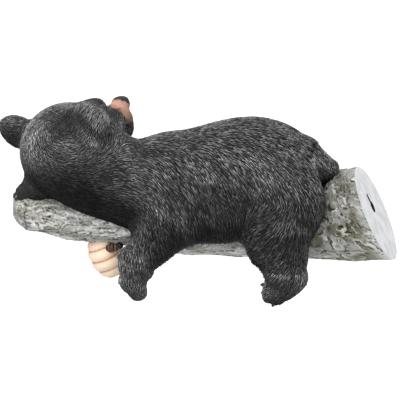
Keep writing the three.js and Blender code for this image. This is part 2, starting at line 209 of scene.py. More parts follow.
# The bee's tail, chest and head: how far along and how far raised, and their radii
BEE_PARTS = ((0, 0, (5.5, 4.6, 4.6)), (5, 0.5, (4, 4, 4)), (8.6, 2.2, (3.8, 3.8, 3.8)))
BEE_STRIPE_WAVE = 1.9

# Sizes in millimetres and seeds of the patterns in the carving and in the paint
PATTERNS = {
    "bend_along": (8, 11),
    "bend_across": (8, 12),
    "bend_up": (8, 13),
    "lumps": (9, 21),
    "plates": (4.5, 22),
    "chips": (2.2, 23),
    "grain": (1.3, 26),
    "lichen": (10, 27),
    "flecks": (1.5, 28),
    "streaks": (1, 29),
    "brushing": (3.5, 30),
    "muzzle_edge": (2.2, 31),
    "fur_clumps": (10, 32),
}
STREAK_SIZE = np.array((14, 2.2, 9))

# Sizes in millimetres of the spots in the materials. Real grain and brush marks are finer, and are
# drawn this coarse so that they show. The keyhole's painted shadow is speckled at the brush marks' size.
BARK_GRAIN = 1.6
BRUSH_MARK = 1.5
SAWN_SMUDGE = 14
STRAW_BLOTCH = 8
STRAW_WEAR = 2.5
SPOT_DETAIL = 3.0
# How much grain, wear and lichen change the paint, and how rough the black gloss is
BARK_GRAIN_STRENGTH = 0.35
STRAW_WEAR_STRENGTH = 0.5
LICHEN_STRENGTH = 0.75
GLOSSIEST, DULLEST = 0.1, 0.4
# Dry brushing: how narrowly it keeps to a lock's ridge, and how the locks differ in tone
RIDGE_POWER = 2.5
TONE_POWER = 1.6
TONE_MIDDLE = 0.4
TONE_SPREAD = 0.65
TONE_BASE = 0.52

# Studio: lights have a place in millimetres, a size in metres and a power in watts
CAMERA_PITCH = np.radians(18)
CAMERA_DISTANCE = 6.0
PICTURE_WIDTH = 0.400
SENSOR_WIDTH = 36.0
FLOOR_DROP = 0.6
FLOOR_SIZE = 30.0
FLOOR_GLOW = 0.5
SKY_STRENGTH = 0.75
LIGHTS = (
    ("key", (-500, -700, 1600), 1.0, 34),
    ("fill", (-700, -1500, 500), 1.5, 5),
    ("rim", (-200, 1200, 1200), 1.2, 8),
)

# Sockets of a Mix node that mixes colours, and of a Random Value node that draws a number
MIX_SHARE, MIX_FIRST, MIX_SECOND, MIX_RESULT = 0, 6, 7, 2
DRAW_LEAST, DRAW_MOST, DRAW_SEED, DRAW_RESULT = 2, 3, 8, 1


def unit(vector):
    vector = np.asarray(vector, float)
    return vector / np.linalg.norm(vector)


def units(vectors):
    return vectors / np.maximum(np.linalg.norm(vectors, axis=1, keepdims=True), 1e-9)


def smooth_step(value, low=0.0, high=1.0):
    share = np.clip((value - low) / (high - low), 0, 1)
    return share * share * (3 - 2 * share)


def read_off(table, values):
    return np.interp(values, *zip(*table))


# From the lie of the photograph to the shared frame, in metres

SAWN_UP = np.array((-np.sin(HANG_ANGLE), 0, np.cos(HANG_ANGLE)))
SAWN_SIDEWAYS = np.array((np.cos(HANG_ANGLE), 0, np.sin(HANG_ANGLE)))
SAWN_ACROSS = np.cos(SAWN_YAW) * np.array((0, 1, 0)) + np.sin(SAWN_YAW) * SAWN_SIDEWAYS
SAWN_OUT = np.cross(SAWN_ACROSS, SAWN_UP)
SAWN_AXES = np.array((SAWN_OUT, SAWN_ACROSS, SAWN_UP))


def hang_directions(vectors):
    return np.asarray(vectors, float) @ SAWN_AXES.T


def hang(points):
    return hang_directions(np.subtract(points, SAWN_CENTRE)) * MILLIMETRE


# Smooth noise, the same each time, for the carving and the paint

LATTICE_PRIMES = np.array((73856093, 19349663, 83492791))
SEED_PRIME = 2654435761
MIXING_PRIME = 1274126177
LARGEST_DRAW = 0xFFFFFF


def lattice_numbers(cells, seed):
    mixed = (cells * LATTICE_PRIMES).sum(axis=-1) + seed * SEED_PRIME
    mixed = (mixed ^ (mixed >> 13)) * MIXING_PRIME
    mixed = mixed ^ (mixed >> 16)
    return (mixed & LARGEST_DRAW) / float(LARGEST_DRAW)


def pattern(points, name):
    """Numbers from -1 to 1 that vary smoothly over the named pattern's size."""
    size, seed = PATTERNS[name]
    places = points / size
    base = np.floor(places).astype(np.int64)
    share = smooth_step(places - base)
    total = np.zeros(len(points))
    for corner in np.ndindex(2, 2, 2):
        corner = np.array(corner)
        weight = np.prod(np.where(corner == 1, share, 1 - share), axis=1)
        total += weight * lattice_numbers(base + corner, seed)
    return total * 2 - 1


# Distances to the simple forms that the bear is modelled from

def ellipsoid(points, centre, radii, axes=None):
    offset = points - np.asarray(centre, np.float32)
    if axes is not None:
        offset = offset @ np.asarray(axes, np.float32).T
    radii = np.asarray(radii, np.float32)
    scaled = offset / radii
    reach = np.linalg.norm(scaled, axis=1)
    slope = np.linalg.norm(scaled / radii, axis=1)
    return reach * (reach - 1) / np.maximum(slope, 1e-9)


def round_cone(points, start, end, start_radius, end_radius):
    along = np.subtract(end, start)
    length = np.linalg.norm(along)
    along = (along / length).astype(np.float32)
    taper = (start_radius - end_radius) / length
    lean = taper / np.sqrt(1 - taper * taper)
    offset = points - np.asarray(start, np.float32)
    run = offset @ along
    out = np.sqrt(np.maximum((offset * offset).sum(axis=1) - run * run, 0))
    share = np.clip((run + out * lean) / length, 0, 1)
    radius = start_radius + (end_radius - start_radius) * share
    return np.hypot(out, run - share * length) - radius


def soft_join(first, second, softness):
    overlap = np.maximum(softness - np.abs(first - second), 0)
    return np.minimum(first, second) - overlap * overlap / (4 * softness)


def soft_cut(body, tool, softness):
    return -soft_join(-body, tool, softness)


# The head's own frame: the way it faces, its crown and its right side

HEAD_CENTRE = np.array((-129.0, 2.0, 50.0))
HEAD_FACING = unit((0.58, 0.73, 0.35))
CROWN_LEAN = np.array((-0.40, -0.135, 0.902))
HEAD_CROWN = unit(CROWN_LEAN - (CROWN_LEAN @ HEAD_FACING) * HEAD_FACING)
HEAD_RIGHT = np.cross(HEAD_FACING, HEAD_CROWN)
HEAD_AXES = np.array((HEAD_FACING, HEAD_CROWN, HEAD_RIGHT))


def on_head(facing, crown, right):
    return HEAD_CENTRE + np.array((facing, crown, right)) @ HEAD_AXES


NOSE_PLACE = on_head(85, 1, 0)
NOSE_PAD_PLACE = on_head(87.5, 2.2, 0)
EYE_PLACES = {"eye_left": on_head(44.5, 8, -19), "eye_right": on_head(43, 8, 19)}
# The muzzle as a round cone: its two ends and its radius at each
MUZZLE = (on_head(32, -8, 0), on_head(70, -9, 0), 25, 17)
# Middle of the shallow hollow between the ears, on the back of the head
HEAD_HOLLOW = np.array((-136, -30, 87))
# Places painted lighter or darker, with how far each reaches and by how much: painted shade in the
# hollow between the ears and in the grooves by the ear, muzzle and jaw, painted light on the ear's
# back and in the shaded groove below it, and more grey on the throat, chin, ear's base, paw, tail,
# thigh and foot
PAINT_TOUCHES = (
    (HEAD_HOLLOW, 16, -0.28),
    ((-100, -42, 90), 13, 0.4),
    ((-92, -42, 100), 6, 0.4),
    ((-108, -38, 95), 10, 0.3),
    ((-90, 1, 82), 6, -0.35),
    ((-89, -16, 78), 5, -0.3),
    ((-89, -25, 72), 5, -0.25),
    ((-85, -10, 76), 6, -0.3),
    ((-81, -13, 72), 5, -0.25),
    ((-102, -40, 84), 8, 0.25),
    ((-98, -37, 78), 7, 0.2),
    ((-78, -21, 65), 9, 0.3),
    ((-70, 45, 60), 10, 0.25),
    ((-166, -18, 70), 12, 0.1),
    ((-63, -51, -73), 18, 0.35),
    ((118, -12, 44), 14, 0.22),
    ((88, -58, 0), 26, 0.12),
    ((100, -56, -70), 14, 0.2),
)


def ear_axes(side):
    outward = unit(EAR_LEANS[side] @ np.array((HEAD_CROWN, HEAD_RIGHT, HEAD_FACING)))
    opening = unit(HEAD_FACING - (HEAD_FACING @ outward) * outward)
    return np.array((outward, np.cross(outward, opening), opening))


def ear_hollow(points, side):
    axes = ear_axes(side)
    place = HEAD_CENTRE + np.array((EAR_REACH + EAR_HOLLOW_OUT, 0, EAR_HOLLOW_FORWARD)) @ axes
    return ellipsoid(points, place, EAR_HOLLOW_RADII, axes)


def ear(points, side):
    axes = ear_axes(side)
    body = ellipsoid(points, HEAD_CENTRE + EAR_REACH * axes[0], EAR_RADII, axes)
    return soft_cut(body, ear_hollow(points, side), EAR_HOLLOW_SOFTNESS)


# Which way the fur lies on each part of the body

def trunk_flow(points):
    tilt = np.radians(read_off(TRUNK_TILTS, points[:, 2]))
    return np.stack((np.cos(tilt), np.zeros_like(tilt), -np.sin(tilt)), axis=1)


def thigh_flow(points):
    """Down and back at the hip; from the knee down it parts to the front."""
    below_hip = smooth_step(-points[:, 2], -30, -10)
    parted = np.clip((points[:, 0] - HIP_PARTING) / HIP_PARTING_WIDTH, -1.4, 0.3)
    spread = 0.5 + (parted - 0.5) * below_hip
    return units(np.stack((spread, np.zeros_like(spread), -np.ones_like(spread)), axis=1))


def head_flow(points):
    """Away from the nose over the face, then round the hollow between the ears and on to the neck."""
    away = points - NOSE_PLACE
    offset = points - HEAD_HOLLOW
    swirl = np.stack((-offset[:, 2], np.zeros(len(points)), offset[:, 0]), axis=1)
    to_neck = 1.2 * smooth_step(-offset[:, 2], 20, 60)
    behind = smooth_step(np.linalg.norm(away, axis=1), 50, 80)[:, None]
    back_flow = units(swirl) + to_neck[:, None] * np.array((1, 0, -0.35))
    return units((1 - behind) * units(away) + behind * back_flow)


def lies(*direction):
    return lambda points: np.broadcast_to(unit(direction), points.shape)


# A part's shape, how softly it joins the parts before it, which way its fur lies and how long it is
BodyPart = namedtuple("BodyPart", "shape softness flow fur_length")


def ball(centre, radii, softness, flow, fur_length=1.0, axes=None):
    shape = partial(ellipsoid, centre=centre, radii=radii, axes=axes)
    return BodyPart(shape, softness, flow, fur_length)


def limb(start, end, start_radius, end_radius, softness, flow=None, fur_length=1.0):
    shape = partial(round_cone, start=start, end=end, start_radius=start_radius, end_radius=end_radius)
    return BodyPart(shape, softness, flow or lies(*np.subtract(end, start)), fur_length)


def trunk_parts():
    """Chest, belly and rump, both flanks, the neck, the throat and the tail."""
    parts = [
        ball((-31, 0, 19), (50, 46, 48.5), 20, trunk_flow),
        ball((12, 0, 21.5), (60, 48, 48.5), 20, trunk_flow),
        ball((51, 0, 28), (70.5, 52, 56), 20, trunk_flow),
    ]
    for side in (-1, 1):
        parts.append(ball((8, 26 * side, -7), (62, 24, 27), 16, trunk_flow))
    parts.append(limb((-100, 0, 27), (-45, 0, 7), 42, 43, 14, lies(1, 0, -0.25)))
    parts.append(ball(on_head(36, -44, 8), (22, 17, 24), 10, lies(0.75, 0, -0.66), 1.0, HEAD_AXES))
    parts.append(limb((104, 0, 49), (125, -2, 33), 16, 12.5, 8, lies(0.55, 0, -0.83), 0.55))
    return parts


def hind_toe_turn(toe):
    return HIND_TOE_START + HIND_TOE_STEP * toe


def hind_toe_place(toe, side, further=0.0):
    turn = hind_toe_turn(toe)
    x, y, z = HIND_FOOT_MIDDLE
    reach_x, reach_z = HIND_TOE_REACH
    return np.array((
        x + (reach_x + further) * np.cos(turn),
        y * side,
        z + (reach_z + further) * np.sin(turn),
    ))


def paw_toe_place(toe):
    sweep = (toe + 0.5) / PAW_TOES - 0.5
    return PAW_MIDDLE + np.array((PAW_CURVE * sweep * sweep, PAW_WIDTH * sweep, 0))


def hind_leg_parts(side):
    """Thigh, lower leg, its fuller front, the foot and its toes."""
    shin_axes = (unit((-0.836, 0, -0.548)), (0, 1, 0), unit((0.548, 0, -0.836)))
    foot_axes = (unit((0.82, 0, 0.57)), (0, 1, 0), unit((-0.57, 0, 0.82)))
    foot_flow = lies(-0.6, 0, -0.8)
    parts = [
        ball((84, 36 * side, 8), (39, 25, 44), 14, thigh_flow),
        limb((84, 40 * side, -22), (85, 44 * side, -60), 27, 19.5, 10, thigh_flow, 0.9),
        ball((74, 39 * side, -34), (26, 20, 38), 10, thigh_flow, 0.9, shin_axes),
        ball((84, 45 * side, -75), (25, 14, 14), 6, foot_flow, 0.65, foot_axes),
    ]
    for toe in range(HIND_TOES):
        parts.append(ball(hind_toe_place(toe, side), (6.5, 6.5, 5), 3, foot_flow, 0.25))
    return parts


def arm_parts():
    """The whole near arm, which dangles to its paw, and the far one down to its elbow."""
    return [
        limb((-35, -30, -18), (-62, -36, -54), 32, 18, 14, lies(0.25, 0, -1)),
        limb((-62, -36, -52), (-67, -38, -72), 18, 13, 6, lies(0.1, 0, -1), 0.4),
        limb((-66, -38, -72), (-62, -38, -84), 13, 9, 6, lies(0.2, 0, -1), 0.22),
        limb((-50, 34, 8), (-100, 34, 0), 28, 20, 14),
    ]


def far_paw_parts():
    """The far forearm, its paw at the branch's tip and the paw's toes."""
    parts = [
        limb((-100, 34, 0), (-160, 12, 10), 19, 14, 10, None, 0.8),
        ball((-166, 2, 10), (14, 18, 10), 6, lies(-1, -0.3, 0), 0.4),
    ]
    for toe in range(PAW_TOES):
        parts.append(ball(paw_toe_place(toe), (7, 5, 7), 3, lies(-1, 0, -0.4), 0.2))
    return parts


def head_parts():
    """Skull, cheeks and brows, muzzle, chin, nose and ears."""
    parts = [ball(HEAD_CENTRE, (48, 49, 52), 0, head_flow, 0.65, HEAD_AXES)]
    for side, brow_up in ((-1, 20), (1, 26)):
        cheek, brow = on_head(14, -16, 28 * side), on_head(35, brow_up, 17 * side)
        parts.append(ball(cheek, (26, 24, 24), 14, head_flow, 0.7, HEAD_AXES))
        parts.append(ball(brow, (14, 11, 14), 10, head_flow, 0.3, HEAD_AXES))
    parts.append(limb(*MUZZLE, 10, head_flow, 0.5))
    parts.append(ball(on_head(65, -21, 0), (18, 10, 14), 6, head_flow, 0.5, HEAD_AXES))
    parts.append(ball(NOSE_PLACE, NOSE_RADII, 4, head_flow, 0.3, HEAD_AXES))
    for side in (-1, 1):
        parts.append(BodyPart(partial(ear, side=side), 7, lies(*ear_axes(side)[0]), 0.55))
    return parts


TRUNK_PARTS = trunk_parts()
FAR_PAW_PARTS = far_paw_parts()
LIMB_PARTS = hind_leg_parts(-1) + hind_leg_parts(1) + arm_parts() + FAR_PAW_PARTS
HEAD_PARTS = head_parts()


def joined(points, parts):
    form = parts[0].shape(points)
    for part in parts[1:]:
        form = soft_join(form, part.shape(points), part.softness)
    return form


def bear_form(points):
    body = joined(points, TRUNK_PARTS + LIMB_PARTS)
    return soft_join(body, joined(points, HEAD_PARTS), HEAD_TO_BODY_SOFTNESS)


def slope_of(form, points):
    step = 0.25
    shifts = np.eye(3, dtype=np.float32) * step
    rises = [form(points + shift) - form(points - shift) for shift in shifts]
    return np.stack(rises, axis=1) / (2 * step)


def settle(form, points):
    """Move points on to a form's surface."""
    passes, farthest, shallowest = 2, 1.0, 0.25
    for _ in range(passes):
        slope = slope_of(form, points)
        steepness = np.maximum((slope * slope).sum(axis=1), shallowest)
        move = -form(points) / steepness
        points = points + np.clip(slope * move[:, None], -farthest, farthest)
    return points


def surface_of(form, low, high, cell):
    """Corners and four-sided faces of a form's surface, one corner in each cell that it crosses."""
    lines = [np.arange(start, end, cell, dtype=np.float32) for start, end in zip(low, high)]
    grid = np.stack(np.meshgrid(*lines, indexing="ij"), axis=-1)
    counts = grid.shape[:3]
    field = np.concatenate([form(slab.reshape(-1, 3)) for slab in grid]).reshape(counts)
    crossings = np.zeros(counts, int)
    totals = np.zeros(counts + (3,))
    edges = []
    for axis in range(3):
        start = np.take(field, range(counts[axis] - 1), axis)
        end = np.take(field, range(1, counts[axis]), axis)
        at = np.argwhere((start < 0) != (end < 0))
        first, last = start[tuple(at.T)], end[tuple(at.T)]
        place = at.astype(float)
        place[:, axis] += first / (first - last)
        across, up = np.eye(3, dtype=int)[[(axis + 1) % 3, (axis + 2) % 3]]
        around = [at - across - up, at - up, at, at - across]
        for cells in around:
            np.add.at(crossings, tuple(cells.T), 1)
            np.add.at(totals, tuple(cells.T), place)
        edges.append((around, first < 0))
    used = crossings > 0
    number = np.full(counts, -1)
    number[used] = np.arange(used.sum())
    corners = np.asarray(low) + cell * totals[used] / crossings[used][:, None]
    faces = []
    for around, starts_inside in edges:
        quads = np.stack([number[tuple(cells.T)] for cells in around], axis=1)
        faces.append(np.where(starts_inside[:, None], quads, quads[:, ::-1]))
    return settle(form, corners.astype(np.float32)), np.concatenate(faces)


# Pieces and materials

def linear(hex_colour):
    channels = [int(hex_colour[at:at + 2], 16) / 255 for at in (1, 3, 5)]
    straight = [c / 12.92 if c <= 0.04045 else ((c + 0.055) / 1.055) ** 2.4 for c in channels]
    return (*straight, 1.0)


def add_node(tree, kind, inputs=None, stops=(), **settings):
    """Add a node with its settings, its inputs as links or values, and a colour ramp's stops."""
    node = tree.nodes.new(kind)
    for name, value in settings.items():
        setattr(node, name, value)
    for socket, value in (inputs or {}).items():
        if isinstance(value, bpy.types.NodeSocket):
            tree.links.new(value, node.inputs[socket])
        else:
            node.inputs[socket].default_value = value
    for _ in stops[2:]:
        node.color_ramp.elements.new(0.5)
    for number, (place, colour) in enumerate(stops):
        node.color_ramp.elements[number].position = place
        node.color_ramp.elements[number].color = linear(colour)
    return node


def per_metre(size):
    return 1 / (size * MILLIMETRE)


def new_material(name, roughness, specular, colour=None):
    material = bpy.data.materials.new(name)
    material.use_nodes = True
    shader = material.node_tree.nodes["Principled BSDF"]
    shader.inputs["Roughness"].default_value = roughness
    shader.inputs["Specular IOR Level"].default_value = specular
    if colour:
        shader.inputs["Base Color"].default_value = linear(colour)
    return material, material.node_tree, shader


def mesh_piece(name, points, faces, materials, kinds=None, attributes=None):
    """A piece in the shared frame. A face's kind is its material's number, and the first is smooth."""
    kinds = np.zeros(len(faces), np.int32) if kinds is None else np.asarray(kinds, np.int32)
    mesh = bpy.data.meshes.new(name)
    mesh.from_pydata(hang(points).tolist(), [], [list(map(int, face)) for face in faces])
    for material in materials:
        mesh.materials.append(material)
    mesh.polygons.foreach_set("material_index", kinds)
    mesh.polygons.foreach_set("use_smooth", kinds == 0)
    for attribute_name, values in (attributes or {}).items():
        values = np.asarray(values, np.float32)
        kind, key = ("FLOAT", "value") if values.ndim == 1 else ("FLOAT_VECTOR", "vector")
        layer = mesh.attributes.new(attribute_name, kind, "POINT")
        layer.data.foreach_set(key, values.ravel())
    mesh.update()
    piece = bpy.data.objects.new(name, mesh)
    bpy.context.scene.collection.objects.link(piece)
    return piece


def belongs(piece, node):
    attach(piece, "root")
    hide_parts(node)


# Shapes in rings of points, closed at both ends

def band(here, there, sides):
    """Faces between two rings, each given by the number of its first point."""
    afters = [(side + 1) % sides for side in range(sides)]
    return [(here + side, here + after, there + after, there + side) for side, after in enumerate(afters)]


def fan(middle, ring, sides, way=1):
    """Faces from one point to a ring, turned over where way is -1."""
    return [(middle, ring + side, ring + (side + way) % sides) for side in range(sides)]


def ring_faces(rings, sides):
    faces = []
    for ring in range(rings - 1):
        faces += band(ring * sides, (ring + 1) * sides, sides)
    return faces


def turned_shape(radii, heights, sides):
    """Points and faces of a shape turned about Z, given from its bottom to its top."""
    turns = np.arange(sides) * 2 * np.pi / sides
    rings = [np.stack((r * np.cos(turns), r * np.sin(turns), np.full(sides, h)), axis=1)
             for r, h in zip(radii[1:-1], heights[1:-1])]
    points = np.concatenate(rings + [[(0, 0, heights[0])], [(0, 0, heights[-1])]])
    bottom, top = len(points) - 2, len(points) - 1
    faces = ring_faces(len(rings), sides)
    faces += fan(bottom, 0, sides, -1) + fan(top, (len(rings) - 1) * sides, sides)
    return points, faces


def round_shape(radii, axes, centre, detail):
    rings, sides = detail
    turns = np.linspace(0, np.pi, rings + 1)
    points, faces = turned_shape(np.sin(turns), -np.cos(turns), sides)
    return points * np.asarray(radii) @ np.asarray(axes, float) + np.asarray(centre), faces


def gathered(shapes):
    """The points and faces of several shapes as one."""
    all_points, all_faces = [], []
    for points, faces in shapes:
        first = sum(map(len, all_points))
        all_faces += [tuple(corner + first for corner in face) for face in faces]
        all_points.append(points)
    return np.concatenate(all_points), all_faces


# The branch

def branch_at(x):
    after = np.clip(np.searchsorted(BRANCH_STATIONS[:, 0], x), 1, len(BRANCH_STATIONS) - 1)
    start, end = BRANCH_STATIONS[after - 1], BRANCH_STATIONS[after]
    share = smooth_step((x - start[:, 0]) / (end[:, 0] - start[:, 0]))
    tip_share = np.clip((x - BRANCH_TIP) / TIP_ROUNDING, 0, 1)
    tip_round = np.sqrt(1 - (1 - tip_share) ** 2 * TIP_BLUNTNESS)
    height = start[:, 1] + (end[:, 1] - start[:, 1]) * share
    radius = (start[:, 2] + (end[:, 2] - start[:, 2]) * share) * tip_round
    return height, radius


def branch_distance(points):
    """How far points stand out of the branch, near enough to tell what is hidden in it."""
    height, radius = branch_at(np.clip(points[:, 0], BRANCH_TIP, SAWN_CENTRE[0]))
    sideways = np.hypot(points[:, 1], points[:, 2] - height) - radius
    return np.maximum(sideways, BRANCH_TIP - points[:, 0])


def plain_branch():
    """The branch before it is carved: places along and turns, radii, ways out and points."""
    x = np.repeat(np.linspace(BRANCH_TIP, SAWN_CENTRE[0], BRANCH_RINGS), BRANCH_SIDES)
    turn = np.tile(np.arange(BRANCH_SIDES) * 2 * np.pi / BRANCH_SIDES, BRANCH_RINGS)
    height, radius = branch_at(x)
    squared = smooth_step(1 - (SAWN_CENTRE[0] - x) / SQUARE_LENGTH)[:, None]
    up = units(np.array((0, 0, 1)) * (1 - squared) + SAWN_UP * squared)
    across = units(np.array((0, 1, 0)) * (1 - squared) + SAWN_ACROSS * squared)
    out = across * np.cos(turn)[:, None] + up * np.sin(turn)[:, None]
    middle = np.stack((x, np.zeros_like(x), height), axis=1)
    return x, turn, radius, out, middle + out * radius[:, None]


Bark = namedtuple("Bark", "bent lumps rise lip gap flecks streaks grain stub thin_end rim")


def bark_layers(x, turn, radius, plain):
    """Layers that each rise to a pale lip over a dark gap, with lumps, flecks, streaks and grain."""
    thin_end = 1 - smooth_step(x, FLARE_STARTS, FLARE_FULL)
    bends = [pattern(plain, name) for name in ("bend_along", "bend_across", "bend_up")]
    drawn_out = np.stack((read_off(FLAKE_RUN, x), plain[:, 1], plain[:, 2]), axis=1)
    flake_scale = FLAKE_SCALE_ON_FLARE + (1 - FLAKE_SCALE_ON_FLARE) * thin_end
    bent = (drawn_out + FLAKE_BEND * np.stack(bends, axis=1)) * flake_scale[:, None]
    layers = sum(weight * pattern(bent, name) for name, weight in LAYER_PATTERNS.items())
    rise = layers - np.floor(layers)
    brushed = LEAST_BRUSHED + (1 - LEAST_BRUSHED) * smooth_step(pattern(bent, "brushing"), -0.3, 0.3)
    along_grain = np.stack((x, turn * radius, radius), axis=1) / STREAK_SIZE
    return Bark(
        bent=bent,
        lumps=pattern(bent, "lumps"),
        rise=rise,
        lip=smooth_step(rise, *LIP_STARTS) * brushed,
        gap=1 - smooth_step(rise, *GAP_ENDS),
        flecks=smooth_step(pattern(bent, "flecks"), *FLECK_STARTS),
        streaks=pattern(along_grain, "streaks"),
        grain=pattern(plain, "grain"),
        stub=1 - smooth_step(x + 3 * bends[0], STUB_END - 1.5, STUB_END + 1),
        thin_end=thin_end,
        rim=smooth_step(x, RIM_STARTS, RIM_FULL),
    )


def bark_relief(x, turn, bark):
    """How far the bark stands out: furrows and flakes, lower on the stub and fading at the saw cut."""
    wander = 0.5 * np.sin(x / 23) + 0.35 * np.sin(x / 11 + 2 * turn)
    plates = np.cos(FURROWS_ROUND * turn + 2.2 * wander)
    breaks = np.cos(x / FURROW_BREAK + 3 * turn + 2 * np.sin(2 * turn))
    furrows = FURROW_DEPTH * (0.75 * plates + 0.45 * breaks)
    carved = sum(depth * getattr(bark, name) for name, depth in BARK_CARVING.items()) - BARK_SINK
    flakes = carved * (1 - 0.7 * bark.stub) - STUB_STEP * bark.stub
    return (furrows + flakes) * np.clip((SAWN_CENTRE[0] - x) / RIM_FADE, 0, 1)


def bark_tones(x, turn, bark):
    """How pale the paint is: darker on top of the flare and round the stub, paler at the thin end."""
    thin_end, stub = bark.thin_end, bark.stub
    tone = BARK_TONE - FLARE_TOP_DARKER * (1 - thin_end) * np.sin(turn)
    for name, (on_flare, more) in BARK_TONES.items():
        tone = tone + (on_flare + more * thin_end) * getattr(bark, name)
    tone = tone + (STUB_TONE + STUB_GRAIN * bark.grain - tone) * stub
    tone = tone - STUB_EDGE_DARKER * stub * (1 - stub)
    tone = np.clip(tone + THIN_END_PALER * thin_end + RIM_PALER * bark.rim, 0, 1)
    return TIP_TONE + (tone - TIP_TONE) * smooth_step(x, BRANCH_TIP, TIP_PAINT_END)


def lichen_share(bark):
    """Patches of lichen, thinner on the pale lips and at the thin end, none on the rim."""
    patches = smooth_step(pattern(bark.bent, "lichen"), *LICHEN_STARTS)
    patches = patches * (1 - LICHEN_OFF_LIPS * bark.lip) * (1 - LICHEN_OFF_THIN_END * bark.thin_end)
    return patches * (1 - bark.rim)


def keyhole_reach(turns, slot_radius):
    """How far the keyhole's edge is from the middle of its round head, by direction."""
    across = np.abs(np.cos(turns))
    upward = np.sin(turns)
    reach = np.full(len(turns), float(KEYHOLE_HEAD_RADIUS))
    wall = np.where(upward > 0, slot_radius / np.maximum(across, 1e-6), 0)
    room = np.maximum(slot_radius ** 2 - (KEYHOLE_SLOT_LENGTH * across) ** 2, 0)
    top = np.where(upward > 0, KEYHOLE_SLOT_LENGTH * upward + np.sqrt(room), 0)
    return np.maximum(reach, np.minimum(wall, top))


# Kinds of face: bark, sawn end, and the painted shadow inside the keyhole
BARK_FACE, SAWN_FACE, KEYHOLE_SHADOW_FACE = range(3)


def keyhole_rings(turns):
    """Inner edges of the sawn face, slot wall, pocket roof and pocket wall, and the floor's middle."""
    rays = SAWN_ACROSS * np.cos(turns)[:, None] + SAWN_UP * np.sin(turns)[:, None]
    head = np.array(SAWN_CENTRE) + SAWN_UP * KEYHOLE_HEAD_UP
    slot = head + rays * keyhole_reach(turns, KEYHOLE_SLOT_RADIUS)[:, None]
    pocket = head + rays * keyhole_reach(turns, KEYHOLE_HEAD_RADIUS - 0.01)[:, None]
    rings = [
        (slot, SAWN_FACE),
        # The slot's wall and the pocket behind it are painted near-black as shadow
        (slot - SAWN_OUT * KEYHOLE_PLATE, KEYHOLE_SHADOW_FACE),
        (pocket - SAWN_OUT * KEYHOLE_PLATE, KEYHOLE_SHADOW_FACE),
        (pocket - SAWN_OUT * KEYHOLE_DEPTH, KEYHOLE_SHADOW_FACE),
    ]
    return rings, head - SAWN_OUT * KEYHOLE_DEPTH


def build_branch(bark_paint, sawn_paint, keyhole_shadow_paint):
    x, turn, radius, out, plain = plain_branch()
    bark = bark_layers(x, turn, radius, plain)
    carved = plain + out * bark_relief(x, turn, bark)[:, None]
    points = np.concatenate((carved, [(BRANCH_TIP, 0, TIP_HEIGHT)]))
    faces = ring_faces(BRANCH_RINGS, BRANCH_SIDES) + fan(len(carved), 0, BRANCH_SIDES, -1)
    kinds = [BARK_FACE] * len(faces)
    before = (BRANCH_RINGS - 1) * BRANCH_SIDES
    rings, floor = keyhole_rings(turn[:BRANCH_SIDES])
    for ring, kind in rings:
        start = len(points)
        points = np.concatenate((points, ring))
        faces += band(before, start, BRANCH_SIDES)
        kinds += [kind] * BRANCH_SIDES
        before = start
    # The keyhole's floor, painted near-black as shadow
    faces += fan(len(points), before, BRANCH_SIDES)
    kinds += [KEYHOLE_SHADOW_FACE] * BRANCH_SIDES
    points = np.concatenate((points, [floor]))
    rest = len(points) - len(carved)
    attributes = {
        "bark_tone": np.concatenate((bark_tones(x, turn, bark), np.full(rest, TIP_TONE))),
        "lichen": np.concatenate((lichen_share(bark), np.zeros(rest))),
    }
    # Paints for the bark, the sawn end and the painted shadow inside the keyhole
    paints = (bark_paint, sawn_paint, keyhole_shadow_paint)
    belongs(mesh_piece("bark_branch", points, faces, paints, kinds, attributes), "branch")


def bark_material():
    # Cast resin painted as grey bark: pale dry-brushed plates, dark cracks, olive lichen
    material, tree, shader = new_material("painted_resin_bark", 0.8, 0.2)
    tone, lichen = [add_node(tree, "ShaderNodeAttribute", attribute_name=name).outputs["Fac"]
                    for name in ("bark_tone", "lichen")]
    grain = add_node(tree, "ShaderNodeTexNoise", {
        "Vector": add_node(tree, "ShaderNodeTexCoord").outputs["Object"],
        "Scale": per_metre(BARK_GRAIN),
        "Detail": SPOT_DETAIL,
    }).outputs["Fac"]
    for operation, by in (("SUBTRACT", 0.5), ("MULTIPLY", BARK_GRAIN_STRENGTH), ("ADD", tone)):
        grain = add_node(tree, "ShaderNodeMath", {0: grain, 1: by}, operation=operation).outputs[0]
    bare = add_node(tree, "ShaderNodeValToRGB", {"Fac": grain}, (
        (0.05, "#2f2d29"), (0.3, "#6b6a65"), (0.5, "#8f8f8b"), (0.7, "#b4b4b1"), (0.95, "#dededc")))
    tinted = add_node(tree, "ShaderNodeMix", {
        MIX_SHARE: 1.0,
        MIX_FIRST: bare.outputs["Color"],
        MIX_SECOND: linear("#94936a"),
    }, data_type="RGBA", blend_type="MULTIPLY")
    patches = add_node(tree, "ShaderNodeMath", {0: lichen, 1: LICHEN_STRENGTH}, operation="MULTIPLY")
    colour = add_node(tree, "ShaderNodeMix", {
        MIX_SHARE: patches.outputs[0],
        MIX_FIRST: bare.outputs["Color"],
        MIX_SECOND: tinted.outputs[MIX_RESULT],
    }, data_type="RGBA")
    tree.links.new(colour.outputs[MIX_RESULT], shader.inputs["Base Color"])
    return material


def sawn_material():
    # Cast resin painted white on the sawn end, faintly smudged with grey
    material, tree, shader = new_material("painted_resin_sawn_end", 0.6, 0.2)
    smudges = add_node(tree, "ShaderNodeTexNoise", {
        "Vector": add_node(tree, "ShaderNodeTexCoord").outputs["Object"],
        "Scale": per_metre(SAWN_SMUDGE),
        "Detail": SPOT_DETAIL,
    }).outputs["Fac"]
    colour = add_node(tree, "ShaderNodeValToRGB", {"Fac": smudges}, ((0.35, "#d6d7da"), (0.6, "#ebecee")))
    tree.links.new(colour.outputs["Color"], shader.inputs["Base Color"])
    return material


